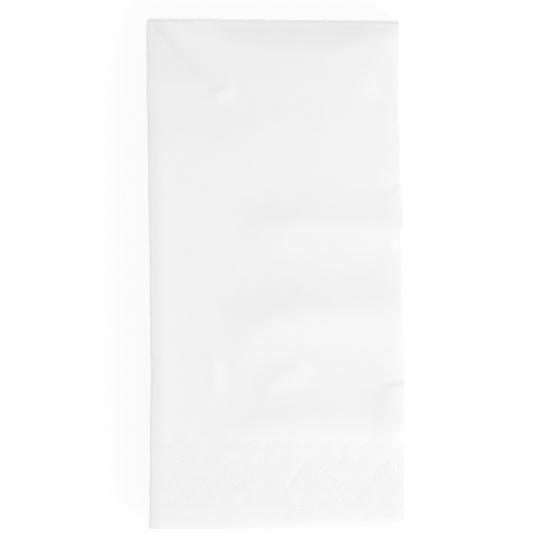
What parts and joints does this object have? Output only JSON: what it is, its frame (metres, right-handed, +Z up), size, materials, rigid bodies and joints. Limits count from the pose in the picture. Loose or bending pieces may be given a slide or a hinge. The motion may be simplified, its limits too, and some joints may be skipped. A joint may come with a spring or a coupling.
{
  "type": "paper napkin",
  "caption": "White paper dinner napkin, folded twice the long way and once across into a flat oblong, with an embossed border along its open end.",
  "frame": {"origin": "on the table, under the middle of the folded napkin", "axes": "+X across the folded napkin, from the double fold to the right-hand fold; +Y along it, from the open end to the cross fold; +Z up from the table"},
  "size_m": [0.0992, 0.2, 0.0071],
  "materials": {
    "tissue": "matte"
  },
  "bodies": {
    "root": {"napkin": "tissue"}
  },
  "joints": []
}
